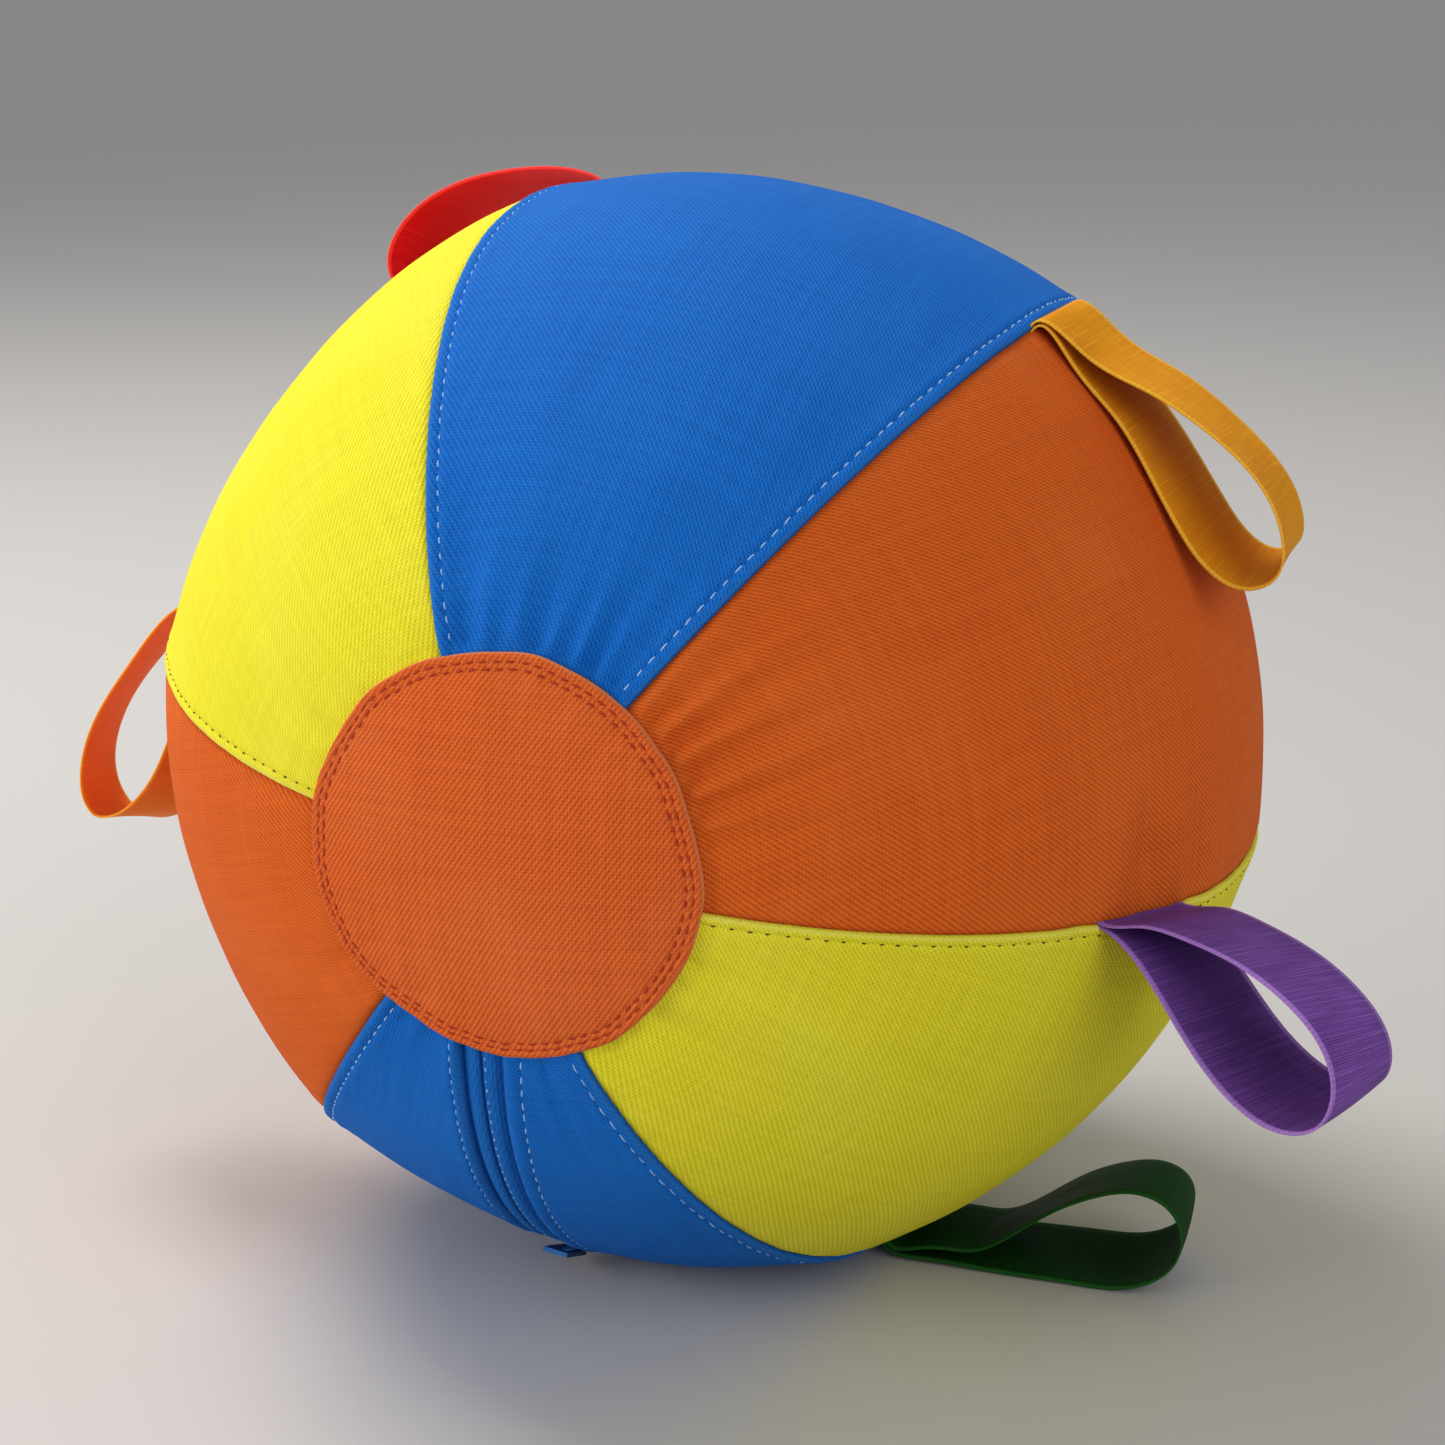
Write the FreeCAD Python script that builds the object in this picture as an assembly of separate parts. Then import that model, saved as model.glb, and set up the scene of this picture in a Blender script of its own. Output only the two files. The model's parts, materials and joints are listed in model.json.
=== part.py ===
import FreeCAD, Part
import math
import os

os.makedirs("parts", exist_ok=True)

# A soft play ball: a canvas cover of six gores and two round caps over a
# rubber bladder, with a zip in one gore and a ribbon loop sewn into each seam.
# Millimetres and degrees. The floor is z = 0 and the ball stands on a small
# flat around the origin. The caps' axis runs along Y, front cap towards -Y.

# --- ball -------------------------------------------------------------------
ball_radius = 110.0        # outside of the cover
settle_depth = 3.5         # how far the filled ball flattens where it stands
cloth = 1.2                # canvas with its seam turnings
lining_gap = 0.2           # between cover and zip tape
bladder_gap = 0.4          # between zip tape and bladder
bladder_wall = 1.5
gore_tip_angle = 13.0      # the gores stop here, under the caps
cap_arc_radius = 37.8      # cap's radius, measured over the curved surface
cap_cloth = 1.2

# --- seams ------------------------------------------------------------------
seam_count = 6
first_seam = -9.8          # turn about Y of the first seam, from +X towards +Z
seam_drift = [0.0, 0.6, -1.7, 0.6, -0.1, 1.7]   # each seam's sewing error
thread_start_span = 1.0    # degrees from a cap's edge to the seam stitches
thread_radius = 0.3
edge_stitch = 2.5          # from a blue panel's folded edge to its stitches
narrow_edge_stitch = 2.0   # the same on a yellow panel
cap_stitch = 2.4           # from the cap's edge to its stitches

# --- zip --------------------------------------------------------------------
zip_seam = -99.0           # turn about Y of the zip's centre line
zip_start = 17.4           # polar angles from the front cap; the foot is under the cap
zip_end = 75.5
slot_end = 74.5
slider_rest = 70.0         # zip closed
slot_half_width = 4.0      # between the two folded panel edges
slot_stitch = 2.1          # from a folded edge to its stitches
tape_half_width = 10.0
tape_thickness = 0.6
tape_split = 0.12          # half the gap where the two tapes meet
coil_radius = 0.85
coil_offset = 1.1          # coil centre from the zip's centre line
coil_gap = 0.1             # between tape and coil
slider_length = 10.0
slider_side_gap = 0.5      # between the slider and the folded panel edges
slider_plate = 0.9
slider_wall = 0.6          # flanges that turn in beside the coil
slider_sink = 0.2          # how far joined parts of the slider run into each other
flange_height = 1.0
bridge_length = 3.6        # the loop on the slider that holds the pull's pin
bridge_half_width = 1.1
slider_lift = 0.25         # slider's upper plate above the tape
slider_drop = 0.4          # slider's lower plate below the coil
post_half_width = 0.7
pull_pin_radius = 0.52
pull_pin_clearance = 0.08
pull_pin_height = 1.1      # pin above the cover
pull_side_gap = 0.2        # between the pull's arms and the bridge
pull_length = 12.0
pull_heel = 0.7            # pull beyond its pin
pull_half_width = 2.6
pull_thickness = 0.9
grip_hole_length = 5.0
grip_margin = 2.5          # from the pull's end to its hole
stop_length = 1.6
stop_overhang = 0.5        # stops stand out of the tape on both faces
foot_stop_half_width = 2.5
head_stop_width = 1.8
post_share = 0.3           # slider's post ahead of its middle, in slider lengths
post_half_span = 0.5       # degrees
parting_share = 0.1        # place in the slider where the coils part, likewise
parting_gap = 0.5          # between the post and the tape's notch
foot_span = 0.5            # degrees, from the tape's foot to its stop and on to the coils
channel_clearance = 0.5    # under and beyond the zip, in the bladder
channel_side_clearance = 1.5
channel_foot_span = 1.0    # degrees of room beyond the tapes' foot

# --- bladder valve ----------------------------------------------------------
valve_angle = 46.0
valve_radius = 4.2
valve_depth = 7.0
valve_sink = 0.3           # its face below the channel's floor
valve_back = 2.0           # behind the needle hole
needle_radius = 0.9

# --- ribbon tags ------------------------------------------------------------
ribbon_width = 25.0
ribbon_thickness = 0.7
tag_pivot_height = 1.4     # fold line of a tag above the cover
tag_root_gap = 0.1         # between the loop and its sewn-in end
sewn_end_thickness = 1.4   # both ends of the ribbon, one on the other
sewn_end_length = 8.0      # turned flat against the inside of the cover
sewn_end_gap = 0.1         # between the cover and the turned ends
sewn_end_trim = 0.05       # off a turned end's inner corners
outline_steps = 40         # places where a loop's outer curve is set out

# Each loop: its seam, its polar angle, and the inside of the loop as points
# (height above the cover, distance round the ball), starting after the fold.
tags = {
    "red": (2, 110.0, [
        (7.1, 4.3), (11.2, 11.4), (15.5, 21.2), (18.5, 30.4), (19.4, 38.9), (17.6, 45.6),
        (13.3, 49.9), (7.3, 50.7), (2.8, 46.6), (1.5, 38.3), (1.4, 29), (1.5, 19.3), (1.5, 8.9)]),
    "gold": (1, 87.0, [
        (1.5, -8.9), (1.5, -22.9), (1.4, -34.6), (1.9, -46.6), (4.2, -54.8), (8.6, -58.9),
        (13.6, -58.7), (16.8, -53.3), (16.7, -44.6), (13.4, -34.4), (8.5, -22.4), (4, -9.7)]),
    "purple": (0, 66.5, [
        (9, 2.7), (18.1, 3.4), (30, 2.7), (42, 0.1), (49.4, -3.3), (52.5, -7.1), (52, -10.6),
        (47.6, -13.2), (38.7, -14.1), (28.9, -12.2), (19.3, -8), (9.5, -2.8)]),
    "green": (5, 90.0, [
        (4.6, 7.7), (8.7, 16.3), (9.3, 25.1), (9.6, 35.1), (12.4, 43.4), (17.1, 49), (23, 50.6),
        (27.9, 48.6), (30.3, 45), (30.2, 40.5), (27.6, 35.4), (22.9, 30.2), (13, 17.5), (6.4, 6.2)]),
    "orange": (3, 90.0, [
        (7.5, 1.7), (12.8, 6.3), (19.4, 13.6), (27.5, 21.7), (33.7, 28.6), (37.1, 34.2),
        (38, 39.5), (35.1, 43.7), (28.9, 44.6), (21.8, 42.3), (14.9, 36.8), (7.7, 25.5), (3.2, 11.7)]),
    "blue": (4, 118.0, [
        (9, 1.8), (19, 2.9), (29, 2.1), (38, -0.9), (46, -5.5), (51, -9.6), (51.6, -13.4),
        (46.6, -15.5), (37.2, -13.9), (26.6, -10), (16.2, -5.4), (8, -1.9)]),
}

# --- derived ----------------------------------------------------------------
ball_height = ball_radius - settle_depth
lining_radius = ball_radius - cloth
tape_outer = lining_radius - lining_gap
tape_inner = tape_outer - tape_thickness
bladder_radius = tape_inner - bladder_gap
cap_angle = math.degrees(cap_arc_radius / ball_radius)
coil_level = tape_inner - coil_gap - coil_radius
slider_half_width = slot_half_width - slider_side_gap
upper_plate_low = tape_outer + slider_lift
upper_plate_high = upper_plate_low + slider_plate
lower_plate_high = coil_level - coil_radius - slider_drop
lower_plate_low = lower_plate_high - slider_plate
channel_floor = lower_plate_low - channel_clearance
channel_half_width = slider_half_width + channel_side_clearance
slider_span = math.degrees(slider_length / ball_radius)
post_angle = slider_rest + post_share * slider_span
parting_angle = slider_rest + parting_share * slider_span
stop_span = math.degrees(stop_length / ball_radius)
stop_start = slot_end - 1.5 * stop_span
flange_outer = lining_radius - sewn_end_gap
flange_inner = flange_outer - tape_thickness
ribbon_sag = ribbon_width ** 2 / (8 * ball_radius)
big = 3 * ball_radius


def seam_angle(index):
    """Turn about Y of a seam; the seventh is the first again, a full turn on."""
    step = 360.0 / seam_count
    return first_seam + step * index + seam_drift[index % seam_count]


def ball(radius, floor_lift):
    """A ball's solid with its flat, the flat lifted by what lies under it."""
    sphere = Part.makeSphere(radius)
    above = Part.makeBox(big, big, big, FreeCAD.Vector(-big / 2, -big / 2, floor_lift - ball_height))
    return sphere.common(above)


def place_on_meridian(shape, turn):
    """From the drawing plane, where +X is the front cap's centre and polar
    angles grow towards +Y, to the meridian at this turn about the Y axis."""
    t = math.radians(turn)
    matrix = FreeCAD.Matrix(0, math.cos(t), -math.sin(t), 0,
                            -1, 0, 0, 0,
                            0, math.sin(t), math.cos(t), 0,
                            0, 0, 0, 1)
    placed = shape.copy()
    placed.transformShape(matrix)
    return placed


def finish(name, shape):
    """Lift a piece from the ball's centre to the floor's frame and write it."""
    piece = shape.copy()
    piece.translate(FreeCAD.Vector(0, 0, ball_height))
    solids = piece.Solids
    if len(solids) == 1:
        piece = solids[0]
    piece.exportStep("parts/" + name + ".step")
    print("%-24s solids %d volume %9.1f mm3 valid %s" % (name, len(solids), piece.Volume, piece.isValid()))


def sector(low, high, offset_low, offset_high, start, end):
    """A rectangular section swept along a meridian: radii from the polar
    plane's centre, offsets from the meridian's plane, polar angles."""
    corners = [FreeCAD.Vector(low, 0, offset_low), FreeCAD.Vector(high, 0, offset_low),
               FreeCAD.Vector(high, 0, offset_high), FreeCAD.Vector(low, 0, offset_high)]
    section = Part.Face(Part.makePolygon(corners + corners[:1]))
    section.rotate(FreeCAD.Vector(0, 0, 0), FreeCAD.Vector(0, 0, 1), start)
    return section.revolve(FreeCAD.Vector(0, 0, 0), FreeCAD.Vector(0, 0, 1), end - start)


def arc_cord(radius, level, offset, start, end):
    """A round cord laid along a meridian at this level, offset to one side."""
    centre = FreeCAD.Vector(math.sqrt(level ** 2 - offset ** 2), 0, offset)
    ring = Part.Wire(Part.makeCircle(radius, centre, FreeCAD.Vector(0, 1, 0)))
    section = Part.Face(ring)
    section.rotate(FreeCAD.Vector(0, 0, 0), FreeCAD.Vector(0, 0, 1), start)
    return section.revolve(FreeCAD.Vector(0, 0, 0), FreeCAD.Vector(0, 0, 1), end - start)


def at_polar_angle(shape, angle):
    """Turn a piece drawn at the front cap's centre to its polar angle."""
    turned = shape.copy()
    turned.rotate(FreeCAD.Vector(0, 0, 0), FreeCAD.Vector(0, 0, 1), angle)
    return turned


def wedge(turn_from, turn_to):
    """The space between two seams, as a prism along the caps' axis."""
    turns = [turn_from, (turn_from + turn_to) / 2, turn_to]
    rim = [FreeCAD.Vector(big * math.cos(math.radians(t)), -big / 2, big * math.sin(math.radians(t)))
           for t in turns]
    centre = FreeCAD.Vector(0, -big / 2, 0)
    face = Part.Face(Part.makePolygon([centre] + rim + [centre]))
    return face.extrude(FreeCAD.Vector(0, big, 0))


def pole_cone(angle, direction):
    """A cone from the ball's centre around one cap: direction is -1 or 1."""
    radius = big * math.tan(math.radians(angle))
    axis = FreeCAD.Vector(0, direction, 0)
    return Part.makeCone(0, radius, big, FreeCAD.Vector(0, 0, 0), axis)


def sewn_end(angle):
    """The two ends of a ribbon: through the seam, then flat inside the cover."""
    half = ribbon_width / 2
    web_low = flange_inner - ribbon_sag
    web_high = ball_radius + tag_pivot_height - ribbon_thickness - tag_root_gap
    web = Part.makeBox(web_high - web_low, ribbon_width, sewn_end_thickness,
                       FreeCAD.Vector(web_low, -half, -sewn_end_thickness / 2))
    shell = Part.makeSphere(flange_outer).cut(Part.makeSphere(flange_inner))
    keep = Part.makeBox(big, ribbon_width, 2 * sewn_end_length,
                        FreeCAD.Vector(web_low + sewn_end_trim, -half, -sewn_end_length))
    web = web.cut(Part.makeSphere(flange_inner))
    return at_polar_angle(web.fuse(shell.common(keep)).common(keep).removeSplitter(), angle)


def loop(points, angle):
    """A ribbon loop: the inside as a smooth curve from the fold round to the
    fold again, the outside one ribbon's thickness further out."""
    fold = FreeCAD.Vector(ball_radius + tag_pivot_height, 0, 0)
    bends = []
    for height, round_ball in points:
        turn = round_ball / ball_radius
        reach = ball_radius + height
        bends.append(FreeCAD.Vector(reach * math.cos(turn), 0, reach * math.sin(turn)))
    inner = Part.BSplineCurve()
    inner.interpolate([fold] + bends + [fold])
    enclosed = sum(a.cross(b).y for a, b in zip(bends, bends[1:] + bends[:1]))
    side = FreeCAD.Vector(0, math.copysign(1, enclosed), 0)
    spread = []
    for step in range(outline_steps + 1):
        along = inner.FirstParameter + (inner.LastParameter - inner.FirstParameter) * step / outline_steps
        outward = inner.tangent(along)[0].cross(side)
        spread.append(inner.value(along) + outward * ribbon_thickness)
    outer = Part.BSplineCurve()
    outer.interpolate(spread)
    behind = (spread[0] + spread[-1]) * 0.5 - fold
    root = Part.Arc(spread[-1], fold + behind * (ribbon_thickness / behind.Length), spread[0])
    band = Part.Face([Part.Wire([outer.toShape(), root.toShape()]), Part.Wire(inner.toShape())])
    band.validate()
    band.translate(FreeCAD.Vector(0, -ribbon_width / 2, 0))
    return at_polar_angle(band.extrude(FreeCAD.Vector(0, ribbon_width, 0)), angle)


# --- cover ------------------------------------------------------------------
cover = ball(ball_radius, 0).cut(ball(lining_radius, cloth))
tips = pole_cone(gore_tip_angle, -1).fuse(pole_cone(gore_tip_angle, 1))
cover = cover.cut(tips)

sewn_ends = {}
for colour, (seam, angle, points) in tags.items():
    sewn_ends[colour] = place_on_meridian(sewn_end(angle), seam_angle(seam))

# Edge stitching: blue panels carry it beside their four seams, yellow panels
# beside the two seams that they share with orange.
stitch_lines = {
    "thread_seam_orange_yellow_right": (0, -narrow_edge_stitch),
    "thread_seam_blue_orange": (1, edge_stitch),
    "thread_seam_yellow_blue": (2, -edge_stitch),
    "thread_seam_orange_yellow_left": (3, -narrow_edge_stitch),
    "thread_seam_orange_blue": (4, edge_stitch),
    "thread_seam_blue_yellow": (5, -edge_stitch),
}
threads = {}
thread_start = cap_angle + thread_start_span
for name, (seam, offset) in stitch_lines.items():
    cord = arc_cord(thread_radius, ball_radius, offset, thread_start, 180 - thread_start)
    threads[name] = place_on_meridian(cord, seam_angle(seam))
slot_stitch_offset = slot_half_width + slot_stitch
for side, sign in (("left", -1), ("right", 1)):
    cord = arc_cord(thread_radius, ball_radius, sign * slot_stitch_offset, thread_start, slot_end)
    threads["thread_zip_" + side] = place_on_meridian(cord, zip_seam)

slot = place_on_meridian(sector(lining_radius - cloth, ball_radius + cloth,
                                -slot_half_width, slot_half_width,
                                gore_tip_angle - thread_start_span, slot_end), zip_seam)
for colour in sewn_ends:
    cover = cover.cut(sewn_ends[colour])
for name in threads:
    cover = cover.cut(threads[name])

panels = {
    "gore_orange_right": (seam_angle(0), seam_angle(1)),
    "gore_blue_upper": (seam_angle(1), seam_angle(2)),
    "gore_yellow_upper": (seam_angle(2), seam_angle(3)),
    "gore_orange_left": (seam_angle(3), seam_angle(4)),
    "gore_blue_lower_left": (seam_angle(4), 360 + zip_seam),
    "gore_blue_lower_right": (360 + zip_seam, seam_angle(5)),
    "gore_yellow_lower": (seam_angle(5), 360 + seam_angle(0)),
}
for name, (turn_from, turn_to) in panels.items():
    panel = cover.common(wedge(turn_from, turn_to))
    if name.startswith("gore_blue_lower"):
        panel = panel.cut(slot)
    finish(name, panel)

# --- caps -------------------------------------------------------------------
cap_stitch_angle = cap_angle - math.degrees(cap_stitch / ball_radius)
cap_shell = Part.makeSphere(ball_radius + cap_cloth).cut(Part.makeSphere(ball_radius))
for side, direction in (("front", -1), ("back", 1)):
    stitch_radius = (ball_radius + cap_cloth) * math.sin(math.radians(cap_stitch_angle))
    stitch_level = (ball_radius + cap_cloth) * math.cos(math.radians(cap_stitch_angle))
    ring = Part.makeTorus(stitch_radius, thread_radius, FreeCAD.Vector(0, direction * stitch_level, 0),
                          FreeCAD.Vector(0, 1, 0))
    finish("thread_cap_" + side, ring)
    finish("cap_" + side, cap_shell.common(pole_cone(cap_angle, direction)).cut(ring))

for name in threads:
    finish(name, threads[name])

# --- zip --------------------------------------------------------------------
tape_shell = Part.makeSphere(tape_outer).cut(Part.makeSphere(tape_inner))
tape_low = tape_inner - tape_thickness
tape_high = tape_outer + tape_thickness
notch_half = post_half_width + parting_gap
notch = sector(tape_low, tape_high, -notch_half, notch_half, parting_angle, zip_end + foot_span)
stop_low = tape_inner - stop_overhang
stop_high = tape_outer + stop_overhang
foot_start = zip_start + foot_span
foot_stop = sector(stop_low, stop_high, -foot_stop_half_width, foot_stop_half_width,
                   foot_start, foot_start + stop_span)
finish("zip_bottom_stop", place_on_meridian(foot_stop, zip_seam))
for side, sign in (("left", -1), ("right", 1)):
    inner_edge, outer_edge = sorted((sign * tape_split, sign * tape_half_width))
    strip = sector(tape_low, tape_high, inner_edge, outer_edge, zip_start, zip_end)
    edge_low, edge_high = sorted((sign * notch_half, sign * (notch_half + head_stop_width)))
    head_stop = sector(stop_low, stop_high, edge_low, edge_high, stop_start, stop_start + stop_span)
    tape = tape_shell.common(strip).cut(notch).cut(foot_stop).cut(head_stop)
    finish("zip_tape_" + side, place_on_meridian(tape, zip_seam))
    finish("zip_top_stop_" + side, place_on_meridian(head_stop, zip_seam))
    coil = arc_cord(coil_radius, coil_level, sign * coil_offset,
                    foot_start + stop_span + foot_span, parting_angle)
    finish("zip_coil_" + side, place_on_meridian(coil, zip_seam))

slider_from = slider_rest - slider_span / 2
slider_to = slider_rest + slider_span / 2
upper_plate = sector(upper_plate_low, upper_plate_high, -slider_half_width, slider_half_width,
                     slider_from, slider_to)
lower_plate = sector(lower_plate_low, lower_plate_high, -slider_half_width, slider_half_width,
                     slider_from, slider_to)
post = sector(lower_plate_high - slider_sink, upper_plate_low + slider_sink,
              -post_half_width, post_half_width, post_angle - post_half_span, post_angle + post_half_span)
flanges = []
for sign in (-1, 1):
    edge_low, edge_high = sorted((sign * (slider_half_width - slider_wall), sign * slider_half_width))
    flanges.append(sector(lower_plate_high - slider_sink, lower_plate_high + flange_height,
                          edge_low, edge_high, slider_from, slider_to))
pin_level = ball_radius + pull_pin_height
bridge_low = upper_plate_high - slider_sink
bridge_high = pin_level + bridge_half_width
bridge = Part.makeBox(bridge_high - bridge_low, bridge_length, 2 * bridge_half_width,
                      FreeCAD.Vector(bridge_low, -bridge_length / 2, -bridge_half_width))
pin_hole = Part.makeCylinder(pull_pin_radius + pull_pin_clearance, 4 * bridge_half_width,
                             FreeCAD.Vector(pin_level, 0, -2 * bridge_half_width), FreeCAD.Vector(0, 0, 1))
bridge = at_polar_angle(bridge.cut(pin_hole), slider_rest)
slider = upper_plate.fuse([lower_plate, post, bridge] + flanges).removeSplitter()
finish("zip_slider", place_on_meridian(slider, zip_seam))

arm_inner = bridge_half_width + pull_side_gap
pin_half = arm_inner + slider_sink
pin = Part.makeCylinder(pull_pin_radius, 2 * pin_half,
                        FreeCAD.Vector(pin_level, 0, -pin_half), FreeCAD.Vector(0, 0, 1))
plate_low = pin_level - pull_thickness / 2
blank = Part.makeBox(pull_thickness, pull_length, 2 * pull_half_width,
                     FreeCAD.Vector(plate_low, pull_heel - pull_length, -pull_half_width))
bridge_room = Part.makeBox(pull_thickness + 2, pull_heel + bridge_length, 2 * arm_inner,
                           FreeCAD.Vector(plate_low - 1, -bridge_length, -arm_inner))
grip_hole = Part.makeBox(pull_thickness + 2, grip_hole_length, pull_half_width,
                         FreeCAD.Vector(plate_low - 1, pull_heel - pull_length + grip_margin,
                                        -pull_half_width / 2))
pull = blank.cut(bridge_room).cut(grip_hole).fuse(pin).removeSplitter()
finish("zip_pull", place_on_meridian(at_polar_angle(pull, slider_rest), zip_seam))

# --- bladder ----------------------------------------------------------------
outside = ball(bladder_radius, cloth + bladder_gap)
inside = ball(bladder_radius - bladder_wall, cloth + bladder_gap + bladder_wall)
wall_span = math.degrees(bladder_wall / bladder_radius)
channel_from = zip_start - channel_foot_span
channel_to = slot_end + math.degrees(channel_clearance / bladder_radius)
channel = sector(channel_floor, ball_radius, -channel_half_width, channel_half_width,
                 channel_from, channel_to)
bed_half_width = channel_half_width + bladder_wall
channel_bed = sector(channel_floor - bladder_wall, ball_radius, -bed_half_width, bed_half_width,
                     channel_from - wall_span, channel_to + wall_span)
bladder = outside.cut(place_on_meridian(channel, zip_seam))
bladder = bladder.cut(inside.cut(place_on_meridian(channel_bed, zip_seam)))
valve_low = channel_floor - valve_sink - valve_depth
valve_body = Part.makeCylinder(valve_radius, valve_depth,
                               FreeCAD.Vector(valve_low, 0, 0), FreeCAD.Vector(1, 0, 0))
needle = Part.makeCylinder(needle_radius, valve_depth - valve_back,
                           FreeCAD.Vector(valve_low + valve_back, 0, 0), FreeCAD.Vector(1, 0, 0))
valve = place_on_meridian(at_polar_angle(valve_body.cut(needle), valve_angle), zip_seam)
valve_hole = place_on_meridian(at_polar_angle(valve_body, valve_angle), zip_seam)
finish("bladder", bladder.cut(valve_hole))
finish("bladder_valve", valve)

# --- ribbon tags ------------------------------------------------------------
for colour, (seam, angle, points) in tags.items():
    finish("ribbon_end_" + colour, sewn_ends[colour])
    finish("tag_" + colour, place_on_meridian(loop(points, angle), seam_angle(seam)))
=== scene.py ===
import bpy
import json
import math
import numpy as np
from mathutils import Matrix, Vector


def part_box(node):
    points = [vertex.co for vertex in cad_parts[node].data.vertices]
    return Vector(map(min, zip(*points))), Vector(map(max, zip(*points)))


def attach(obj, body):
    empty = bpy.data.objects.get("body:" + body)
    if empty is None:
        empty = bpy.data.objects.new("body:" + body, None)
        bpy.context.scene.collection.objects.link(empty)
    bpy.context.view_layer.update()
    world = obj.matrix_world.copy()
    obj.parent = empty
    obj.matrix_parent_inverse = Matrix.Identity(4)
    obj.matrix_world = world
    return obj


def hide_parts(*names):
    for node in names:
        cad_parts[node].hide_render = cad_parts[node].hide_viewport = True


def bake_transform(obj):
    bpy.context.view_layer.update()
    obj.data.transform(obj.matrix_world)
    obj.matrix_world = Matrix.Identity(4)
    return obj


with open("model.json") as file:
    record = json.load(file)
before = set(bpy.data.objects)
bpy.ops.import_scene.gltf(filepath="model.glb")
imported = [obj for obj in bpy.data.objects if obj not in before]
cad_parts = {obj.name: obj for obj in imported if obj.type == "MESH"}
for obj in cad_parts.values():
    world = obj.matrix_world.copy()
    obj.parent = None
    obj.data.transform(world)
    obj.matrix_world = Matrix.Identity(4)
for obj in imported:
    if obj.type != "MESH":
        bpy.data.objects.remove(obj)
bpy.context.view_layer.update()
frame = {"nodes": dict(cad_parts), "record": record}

# A soft ball of canvas gores with ribbon loops in its seams. A place on the ball is a turn about
# the Y axis (degrees, from +X towards +Z) and a polar angle (0 at the front cap, 180 at the back one).

mm = 0.001

# the ball's own sizes, from the frame
capLow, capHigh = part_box("cap_front")
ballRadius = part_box("gore_orange_right")[1].x
centre = np.array([0.0, 0.0, (capLow.z + capHigh.z) / 2])
capOuter = -capLow.y                                   # top of the cap's cloth
capAngle = math.degrees(math.asin((capHigh.x - capLow.x) / 2 / capOuter))

seams = {
    "first": -9.8,
    "drift": [0.0, 0.6, -1.7, 0.6, -0.1, 1.7],         # each seam's sewing error, degrees
    "ridge": 1.3 * mm,                                 # seams stand out, gore middles lie lower
    "tips": 13.4,                                      # gores stop here, under the caps
}
seamTurns = [seams["first"] + 60 * k + seams["drift"][k % 6] for k in range(7)]
zipTurn = 360 - 99.0
zipSlot = {"half": 4.0 * mm, "end": 74.5, "close": 3.5}   # past the end the folded edges come together

# each gore: its two seams, its cloth, and how each edge is sewn
# over: folded and topstitched, under: tucked below its neighbour, roll: folded beside the zip
gores = {
    "gore_orange_right": {"span": (0, 1), "cloth": "orange", "edges": ("under", "under")},
    "gore_blue_upper": {"span": (1, 2), "cloth": "blue", "edges": ("over", "over")},
    "gore_yellow_upper": {"span": (2, 3), "cloth": "yellow", "edges": ("under", "overNarrow")},
    "gore_orange_left": {"span": (3, 4), "cloth": "orange", "edges": ("under", "under")},
    "gore_blue_lower_left": {"span": (4, "zip"), "cloth": "blue", "edges": ("over", "roll")},
    "gore_blue_lower_right": {"span": ("zip", 5), "cloth": "blue", "edges": ("rollWide", "over")},
    "gore_yellow_lower": {"span": (5, 6), "cloth": "yellow", "edges": ("under", "overNarrow")},
}

# height of the cloth beside an edge: distance in from the edge and height, millimetres
edgeShapes = {
    "over": ([0, .1, .3, .8, 1.6, 2.15, 2.5, 2.85, 3.6, 5, 8],
             [-.7, -.12, .22, .44, .44, .26, .02, .22, .34, .14, 0]),
    "overNarrow": ([0, .1, .3, .7, 1.3, 1.7, 2.0, 2.3, 3.0, 4.5, 8],
                   [-.65, -.12, .18, .34, .34, .2, .02, .18, .26, .1, 0]),
    "under": ([-1.5, -.7, 0, .5, 1.3, 3, 8],
              [-1.2, -.95, -.72, -.5, -.24, -.06, 0]),
    "roll": ([0, .12, .4, .9, 1.5, 1.85, 2.1, 2.4, 3.2, 5, 8],
             [-1.9, -1.1, -.3, .3, .34, .16, -.08, .14, .24, .1, 0]),
    "rollWide": ([0, .12, .4, 1.1, 2.2, 3.2, 3.75, 4.1, 4.5, 5.6, 8],
                 [-1.9, -1.2, -.5, .3, .62, .46, .2, -.05, .16, .12, 0]),
}
edgeSteps = {
    "over": [0, .05, .1, .2, .3, .5, .8, 1.2, 1.6, 1.9, 2.15, 2.33, 2.5, 2.67, 2.85, 3.2, 3.6, 4.3,
             5, 6.4, 8],
    "overNarrow": [0, .05, .1, .2, .3, .5, .7, 1.0, 1.3, 1.5, 1.7, 1.85, 2, 2.15, 2.3, 2.6, 3, 3.7,
                   4.5, 6, 8],
    "under": [-1.5, -.7, 0, .25, .5, .9, 1.3, 2.1, 3, 4.5, 6, 8],
    "roll": [0, .05, .12, .25, .4, .65, .9, 1.2, 1.5, 1.7, 1.85, 2, 2.1, 2.25, 2.4, 2.8, 3.2, 4, 5, 6.4, 8],
    "rollWide": [0, .05, .12, .25, .4, .7, 1.1, 1.6, 2.2, 2.7, 3.2, 3.5, 3.75, 3.95, 4.1, 4.25, 4.5,
                 5, 5.6, 6.7, 8],
}
# the stitched line drags the cloth a little: size, place and reach, millimetres
edgeDrag = {"size": .13, "place": 2.5, "reach": 3.5}

# shape of the cover
puckers = {"count": 120, "seed": 11, "depth": (0.15 * mm, 0.60 * mm), "width": (1.0 * mm, 2.4 * mm),
           "reach": (4 * mm, 17 * mm)}
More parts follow.
